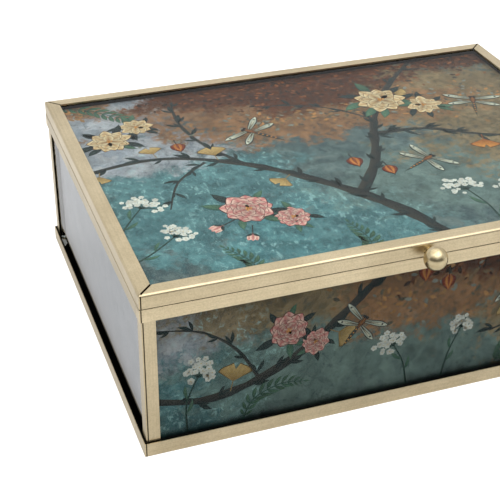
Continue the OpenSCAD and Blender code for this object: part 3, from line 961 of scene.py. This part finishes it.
def dragonfly(art, centre, heading, size, level=0.12):
    """A dragonfly seen from above, with the head towards heading."""
    centre = Vector(centre)
    ahead = toward(heading)
    pale = (chip(150, 128, 88), chip(214, 212, 190), chip(150, 158, 148))
    for side in (-1, 1):
        for lean, long, back in ((1.28, 0.56, 0.12), (1.86, 0.5, 0.02)):
            root = centre + ahead * size * back
            way = heading + side * lean
            mark(art, root, way, size * long, size * 0.15, WING, level, [INK] * 3)
            mark(art, root, way, size * long * 0.975, size * 0.115, WING, level + 0.002, pale)
            for vein in (-0.06, 0.05):
                mark(art, root, way + vein, size * long * 0.86, size * 0.014, LANCE, level + 0.004, [INK] * 3)
            dot(art, root + toward(way) * size * long * 0.85, size * 0.024, level + 0.006, INK)
    body = (chip(26, 38, 42), chip(24, 26, 30), chip(60, 66, 62))
    root = centre + ahead * size * 0.02
    mark(art, root, heading + math.pi, size * 0.62, size * 0.085, LANCE, level + 0.008, body)
    thorax = (chip(120, 70, 36), chip(150, 96, 52), chip(40, 36, 34))
    root = centre - ahead * size * 0.06
    mark(art, root, heading, size * 0.28, size * 0.14, LEAF, level + 0.01, thorax)
    for ring in range(5):
        dot(art, centre - ahead * size * (0.1 + 0.09 * ring), size * 0.018, level + 0.012, AMBER[1], 6)
    for side in (-0.034, 0.034):
        eye = centre + ahead * size * 0.225 + toward(heading + math.pi / 2) * size * side
        dot(art, eye, size * 0.038, level + 0.014, INK)


# %% [markdown]
# ## The printed sheets: laying them down
# A finished drawing is trimmed to its sheet with four cuts, given a body by extruding it down to the paper,
# and turned onto its side of the box. Doing the trimming while the drawing is flat keeps every cut simple.

# %% Trim, thicken and place a drawing
def onto(right, up, out, origin):
    """The matrix that carries a flat drawing to a sheet, from its right, up, outward side and middle."""
    turn = Matrix([Vector(v) for v in (right, up, out)]).transposed().to_4x4()
    return Matrix.Translation(Vector(origin)) @ turn @ Matrix.Scale(MM, 4)


SHEETS = {
    "lid": onto((1, 0, 0), (0, 1, 0), (0, 0, 1), (0, 0, face_of("lid_print", 2, 1))),
    "front": onto((1, 0, 0), (0, 0, 1), (0, -1, 0), (0, face_of("print_front", 1, -1), 0)),
    "back": onto((-1, 0, 0), (0, 0, 1), (0, 1, 0), (0, face_of("print_back", 1, 1), 0)),
}


def start_drawing(seed):
    """An empty drawing, and the dice that give its motifs their small differences."""
    art = bmesh.new()
    art.verts.layers.float_color.new(PAINT)
    return art, random.Random(seed)


def ink_material(name, tone):
    """Matt ink whose colour is the corner colours, worn a little unevenly."""
    material, tree, shader = blank(name)
    drawn = add(tree, "Attribute", {"attribute_name": PAINT}).outputs["Color"]
    wear = noise(tree, place(tree), 900, detail=6, roughness=0.75)
    fade = noise(tree, place(tree), 160, detail=6, roughness=0.7)
    worn = mixed(tree, 0.8, drawn, ramp(tree, wear, [(0.34, 0.66), (0.6, 1.0)]), "MULTIPLY")
    worn = mixed(tree, ramp(tree, fade, [(0.5, 0.0), (0.75, 0.12)]), worn, chip(84, 106, 106))
    worn = mixed(tree, 1.0, worn, (tone, tone, tone, 1), "MULTIPLY")
    feed(tree, worn, shader.inputs["Base Color"])
    shader.inputs["Roughness"].default_value = 0.5
    shader.inputs["Specular IOR Level"].default_value = 0.1
    return material


# Painted shade: the ink on the walls is darker than on the lid, as the walls' sheets are.
INKS = {"lid": ink_material("ink_on_lid", 0.92), "base": ink_material("ink_on_walls", 0.72)}


def lay_drawing(art, name, body, sheet, window):
    """Trims a drawing to the sheet's window, in metres, and lays it on its sheet."""
    for axis, (low, high) in enumerate(window):
        for edge, sign in ((low, -1), (high, 1)):
            facing = Vector((sign, 0, 0) if axis == 0 else (0, sign, 0))
            everything = art.verts[:] + art.edges[:] + art.faces[:]
            point = facing * sign * edge / MM
            bmesh.ops.bisect_plane(art, geom=everything, plane_co=point, plane_no=facing, clear_outer=True)
    marks = len(art.faces)
    raised = bmesh.ops.extrude_face_region(art, geom=art.faces[:])
    above = {v for v in raised["geom"] if isinstance(v, bmesh.types.BMVert)}
    for corner in art.verts:
        if corner not in above:
            corner.co.z = 0
    bmesh.ops.transform(art, matrix=SHEETS[sheet], verts=art.verts)
    made = new_piece(name, art)
    made.data.materials.append(INKS[body])
    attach(made, body)
    triangles = sum(len(face.vertices) - 2 for face in made.data.polygons)
    print(name, "has", marks, "painted faces and", triangles, "triangles")


# %% The lid's sheet: leaves and boughs
art, dice = start_drawing(11)
crown(art, dice, (8, 62), (74, 15), 460, AUTUMN)
crown(art, dice, (84, 66), (22, 9), 110, AUTUMN)
crown(art, dice, (0, 33), (62, 9), 170, DUSK)
crown(art, dice, (70, 30), (34, 20), 110, DUSK)
crown(art, dice, (-90, 64), (12, 7), 46, DUSK)
bough(art, dice, [(14, -76), (5, -50), (-12, -24), (-38, 2), (-68, 16), (-100, 12)], 5.4, 1.3,
      leaves=17, size=7.5, fans=(0.5, 0.66, 0.8, 0.93))
bough(art, dice, [(-6, -33), (10, -10), (22, 18), (38, 44), (66, 74)], 4.4, 1.5,
      level=0.026, leaves=14, size=7.5, fans=(0.75, 0.95))
bough(art, dice, [(-38, 2), (-48, 22), (-52, 42), (-50, 62)], 2.2, 0.8, level=0.022, leaves=9, size=7)
bough(art, dice, [(18, 10), (40, 8), (64, -6), (98, -14)], 2.6, 0.9,
      level=0.022, leaves=11, size=7.5, fans=(0.6,))
bough(art, dice, [(-52, 8), (-66, -4), (-74, -22)], 1.2, 0.5, level=0.018, leaves=5, size=6.5)
bough(art, dice, [(24, 22), (12, 36), (-2, 44), (-18, 48)], 1.3, 0.5, level=0.018, leaves=6, size=6.5)
print("crowns and boughs:", len(art.faces), "painted faces")

# %% The lid's sheet: flowers and dragonflies
blossom(art, dice, (-48, -30), 9.5, BLUSH)
blossom(art, dice, (-35, -40), 6.5, BLUSH, 0.08)
bud(art, (-60, -38), 3.6, 5.0, BLUSH)
bud(art, (-52, -46), 4.4, 4.5, BLUSH)
blossom(art, dice, (34, 38), 10.5, CREAM, **OPEN)
blossom(art, dice, (49, 28), 7.5, CREAM, 0.08, **OPEN)
blossom(art, dice, (-82, 36), 8.5, CREAM, **OPEN)
blossom(art, dice, (-69, 45), 6.5, CREAM, 0.08, **OPEN)
blossom(art, dice, (72, -40), 9.0, BLUSH)
umbel(art, dice, [(-98, -38), (-90, -26), (-84, -18)], 8)
umbel(art, dice, [(-98, -54), (-88, -48), (-78, -40)], 7)
umbel(art, dice, [(32, -76), (34, -56), (32, -42)], 9)
umbel(art, dice, [(52, -74), (54, -60), (50, -48)], 8)
frond(art, dice, [(-96, 72), (-84, 66), (-74, 56), (-68, 48)], 6.5)
frond(art, dice, [(-62, -76), (-58, -64), (-64, -52)], 5.5)
frond(art, dice, [(-24, -76), (-16, -64), (-18, -50)], 6)
frond(art, dice, [(96, -52), (84, -56), (74, -54)], 6)
lantern(art, dice, (2, -6), 7)
lantern(art, dice, (12, -16), 6.5)
lantern(art, dice, (-58, 26), 6.5)
dragonfly(art, (-26, 26), 2.3, 21)
dragonfly(art, (28, -16), 0.5, 20)
dragonfly(art, (70, 24), 1.2, 21)
lay_drawing(art, "lid_artwork", "lid", "lid", lid_window)

# %% The front sheet
wall_window = frame_window("post_front_left", "post_front_right", "base_strip_front", "rim_strip_front", 0, 2)
wall_window[1] = (WALL_LOW, wall_window[1][1])
art, dice = start_drawing(23)
crown(art, dice, (40, 52), (44, 8), 190, AUTUMN)
crown(art, dice, (4, 42), (40, 10), 90, DUSK)
crown(art, dice, (78, 34), (24, 14), 70, DUSK)
bough(art, dice, [(-98, 20), (-74, 16), (-46, 26), (-22, 46), (-8, 62)], 2.4, 3.4,
      leaves=13, size=7, fans=(0.3, 0.62))
bough(art, dice, [(98, 44), (74, 40), (50, 26), (30, 20)], 2.2, 0.8, leaves=11, size=7, fans=(0.4, 0.8))
bough(art, dice, [(-58, 20), (-66, 34), (-78, 44), (-94, 48)], 1.2, 0.5, level=0.022, leaves=6, size=6)
blossom(art, dice, (-48, 38), 7.0, BLUSH)
blossom(art, dice, (-38, 31), 5.0, BLUSH, 0.08)
blossom(art, dice, (62, 22), 8.0, CREAM, **OPEN)
umbel(art, dice, [(-84, 4), (-84, 16), (-80, 26)], 7)
umbel(art, dice, [(-2, 4), (-4, 14), (-8, 22)], 7)
umbel(art, dice, [(12, 4), (14, 14), (18, 24)], 6)
umbel(art, dice, [(84, 4), (84, 18), (80, 28)], 7)
frond(art, dice, [(-64, 4), (-60, 12), (-50, 16), (-42, 15)], 5)
frond(art, dice, [(34, 5), (38, 12), (46, 14)], 5)
lantern(art, dice, (2, 54), 6.5)
lantern(art, dice, (11, 48), 6)
dragonfly(art, (-22, 34), 0.9, 17)
dragonfly(art, (40, 38), 2.6, 17)
lay_drawing(art, "front_artwork", "base", "front", wall_window)

# %% The back sheet
art, dice = start_drawing(31)
crown(art, dice, (-44, 52), (44, 8), 190, AUTUMN)
crown(art, dice, (6, 42), (40, 10), 90, DUSK)
bough(art, dice, [(-98, 50), (-60, 44), (-20, 28), (10, 10)], 2.6, 1.0, leaves=14, size=7, fans=(0.35, 0.7))
bough(art, dice, [(98, 16), (70, 26), (44, 44), (24, 60)], 2.2, 1.0, leaves=11, size=7, fans=(0.5,))
blossom(art, dice, (-36, 22), 8.0, CREAM, **OPEN)
blossom(art, dice, (66, 40), 7.0, BLUSH)
umbel(art, dice, [(-80, 4), (-78, 18), (-72, 30)], 7)
umbel(art, dice, [(34, 4), (32, 16), (28, 26)], 7)
frond(art, dice, [(0, 5), (-4, 14), (-12, 18)], 5)
lantern(art, dice, (0, 50), 6.5)
dragonfly(art, (50, 20), 1.8, 17)
lay_drawing(art, "back_artwork", "base", "back", wall_window)

# %% [markdown]
# ## Boards and linings
# The lid's stack ends in a black flocked card, which is what shows when the lid is open. The floor is
# hardboard, painted black round its rim, because the rim shows through the foot of the glass. Both are flat,
# so fibre is all that their finishes need.

# %% Flocked card and hardboard
def fibre_cloth(name, dark, pale, fine, height, sheen):
    """Black cloth or flock: fine fibres, raised by a height in millimetres, over a soft change of nap."""
    material, tree, shader = blank(name)
    pile = noise(tree, place(tree), fine, detail=3, roughness=0.7)
    nap = noise(tree, place(tree), 55, detail=4)
    tone = ramp(tree, nap, [(0.35, dark), (0.7, pale)])
    tone = mixed(tree, 0.6, tone, ramp(tree, pile, [(0.3, 0.6), (0.7, 1.0)]), "MULTIPLY")
    feed(tree, tone, shader.inputs["Base Color"])
    shader.inputs["Roughness"].default_value = 0.95
    shader.inputs["Sheen Weight"].default_value = sheen
    shader.inputs["Sheen Roughness"].default_value = 0.5
    shader.inputs["Specular IOR Level"].default_value = 0.15
    bump(tree, shader, pile, height * MM, 0.6)
    return material


BLACK_RIM = 4 * MM


def hardboard(name):
    """Brown hardboard with a rim painted black."""
    material, tree, shader = blank(name)
    fibre = noise(tree, place(tree, (300, 900, 900)), detail=6, roughness=0.7, distortion=1.5)
    tone = ramp(tree, fibre, [(0.3, chip(92, 66, 44)), (0.55, chip(122, 92, 62)), (0.75, chip(148, 116, 82))])
    here = axes(tree)
    rim = 0.0
    for axis, edge in zip("XY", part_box("floor_board")[1]):
        out = maths(tree, "GREATER_THAN", maths(tree, "ABSOLUTE", here[axis]), edge - BLACK_RIM)
        rim = maths(tree, "MAXIMUM", rim, out)
    feed(tree, mixed(tree, rim, tone, chip(20, 19, 19)), shader.inputs["Base Color"])
    shader.inputs["Roughness"].default_value = 0.7
    bump(tree, shader, fibre, 0.05 * MM, 0.5)
    return material


flock = fibre_cloth("card_flocked_black", chip(24, 23, 25), chip(38, 37, 40), 2600, 0.12, 0.25)
coat(["lid_backing"], flock)
coat(["floor_board"], hardboard("hardboard_brown"))

# %% [markdown]
# ## The velvet pad
# The pad in the bottom is foam wrapped in black velvet, with half a millimetre of room on each side for the
# cloth to turn down in. Such foam swells a little in the middle and pulls its edges round. A subdivided box
# could be pushed into that form by hand. Here it is a flat block, inflated as cloth with its underside held,
# and then kept from rising more than the real one could. The underside of the box has a sheet of felt, glued
# flat, with a soft cut edge.

# %% The swollen pad
ROOM = Vector((0.5, 0.5, 0)) * MM
SUNK = Vector((0, 0, 0.5)) * MM
ROUNDED, VOXEL, MOST_RISE = 0.8 * MM, 1.8 * MM, 0.8 * MM
HELD_BELOW = 0.4 * MM
PRESSURE, FRAMES = 4, 20


def swell(made, low, high):
    """Inflates a block as cloth, with its underside held. No point moves further than MOST_RISE."""
    start = [corner.co.copy() for corner in made.data.vertices]
    held = made.vertex_groups.new(name="held")
    held.add([n for n, co in enumerate(start) if co.z < low[2] + HELD_BELOW], 1.0, "REPLACE")
    cloth = made.modifiers.new("cloth", "CLOTH")
    cloth.settings.use_pressure = True
    cloth.settings.uniform_pressure_force = PRESSURE
    cloth.settings.effector_weights.gravity = 0
    cloth.settings.vertex_group_mass = "held"
    scene = bpy.context.scene
    for frame_number in range(1, FRAMES + 1):
        scene.frame_set(frame_number)
    apply_modifiers(made)
    scene.frame_set(1)
    for corner, before in zip(made.data.vertices, start):
        moved = corner.co - before
        if moved.length > 0:
            moved *= MOST_RISE * (1 - math.exp(-moved.length / MOST_RISE)) / moved.length
        spot = before + moved
        corner.co = [min(max(v, a), b) for v, a, b in zip(spot, low, high)]


pad_low, pad_high = [Vector(corner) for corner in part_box("floor_pad")]
pad_low, pad_high = pad_low + ROOM, pad_high - ROOM
pad = soft_block("velvet_pad", pad_low, pad_high - SUNK, ROUNDED, VOXEL)
swell(pad, pad_low, pad_high)
for face in pad.data.polygons:
    face.use_smooth = True
finer = pad.modifiers.new("finer", "SUBSURF")
finer.levels = finer.render_levels = 1
pad.data.materials.clear()
pad.data.materials.append(fibre_cloth("velvet_black", chip(17, 16, 19), chip(33, 32, 37), 3200, 0.18, 0.5))
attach(pad, "base")
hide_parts("floor_pad")
print("velvet pad has", len(pad.data.polygons), "faces")

# %% The felt
FELT_EDGE = 0.3 * MM

felt_low, felt_high = [Vector(corner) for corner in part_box("underside_felt")]
felt = soft_block("felt_sheet", felt_low, felt_high, FELT_EDGE)
felt.data.materials.append(fibre_cloth("felt_black", chip(25, 25, 26), chip(44, 43, 44), 900, 0.25, 0.15))
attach(felt, "base")
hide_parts("underside_felt")

# %% [markdown]
# ## The studio
# A product photograph of brass and glass is mostly a photograph of its surroundings: a pale table, a large
# soft lamp overhead, and pale walls that fade towards the dark behind the camera. The table is brightened
# only for rays that come from the camera, a mirror or glass, so that it reads as white while it still
# carries the box's soft shadow and throws no extra light on the box.

# %% Floor
FLOOR_RADIUS = 6  # metres
SEEN_GLOW, MIRRORED_GLOW = 0.62, 0.27

disc = bmesh.new()
bmesh.ops.create_circle(disc, cap_ends=True, segments=96, radius=FLOOR_RADIUS)
floor = new_piece("studio_floor", disc)

floor_paper, tree, shader = blank("floor_paper")
shader.inputs["Base Color"].default_value = (0.55, 0.55, 0.55, 1)
shader.inputs["Roughness"].default_value = 0.9
shader.inputs["Specular IOR Level"].default_value = 0.0
path = add(tree, "LightPath")
seen = maths(tree, "MAXIMUM", path.outputs["Is Camera Ray"], path.outputs["Is Transmission Ray"])
shader.inputs["Emission Color"].default_value = (1, 1, 1, 1)
mirrored = times(tree, path.outputs["Is Glossy Ray"], MIRRORED_GLOW)
glow = maths(tree, "MAXIMUM", times(tree, seen, SEEN_GLOW), mirrored)
feed(tree, glow, shader.inputs["Emission Strength"])
floor.data.materials.append(floor_paper)
print("floor radius, m:", FLOOR_RADIUS)

# %% World
WALL_TONES = [(0.0, 0.37), (0.45, 0.46), (0.62, 0.47), (0.74, 0.85), (1.0, 0.95)]

world = bpy.data.worlds.new("studio_walls")
bpy.context.scene.world = world
world.use_nodes = True
tree = world.node_tree
looking = add(tree, "TexCoord").outputs["Generated"]
height = axes(tree, looking)["Z"]
wall = ramp(tree, height, WALL_TONES, smooth=False)
facing = add(tree, "VectorMath", {"operation": "DOT_PRODUCT"})
feed(tree, looking, facing.inputs[0])
facing.inputs[1].default_value = (away.x, away.y, 0)
behind_camera = ramp(tree, facing.outputs["Value"], [(0.15, 0.0), (0.5, 1.0)])
low_part = ramp(tree, height, [(0.35, 1.0), (0.62, 0.0)])
gloom = times(tree, behind_camera, low_part, 0.8)
wall = mixed(tree, gloom, wall, (0.02, 0.02, 0.02, 1))
wall = mixed(tree, 1.0, wall, (2.0, 2.0, 2.0, 1), "MULTIPLY")
path = add(tree, "LightPath")
light = mixed(tree, path.outputs["Is Camera Ray"], wall, (1, 1, 1, 1))
tree.links.new(light, tree.nodes["Background"].inputs["Color"])
tree.nodes["Background"].inputs["Strength"].default_value = 1.0
print("room with", len(WALL_TONES), "tones from level to overhead")

# %% The lamp
LAMP_AT, LAMP_AIM = Vector((0.1, -0.4, 1.1)), Vector((0, 0, 0.03))
WATTS = 4

lamp_data = bpy.data.lights.new("lamp_overhead", "AREA")
lamp_data.shape = "RECTANGLE"
lamp_data.size, lamp_data.size_y = 1.3, 0.9
lamp_data.energy = WATTS
lamp = bpy.data.objects.new("lamp_overhead", lamp_data)
lamp.location = LAMP_AT
lamp.rotation_mode = "QUATERNION"
lamp.rotation_quaternion = (LAMP_AIM - LAMP_AT).to_track_quat("-Z", "Y")
lamp.visible_camera = False
bpy.context.scene.collection.objects.link(lamp)
bpy.context.scene.view_settings.view_transform = "Standard"
print("lamp of", WATTS, "watts,", round((LAMP_AIM - LAMP_AT).length, 2), "m away")
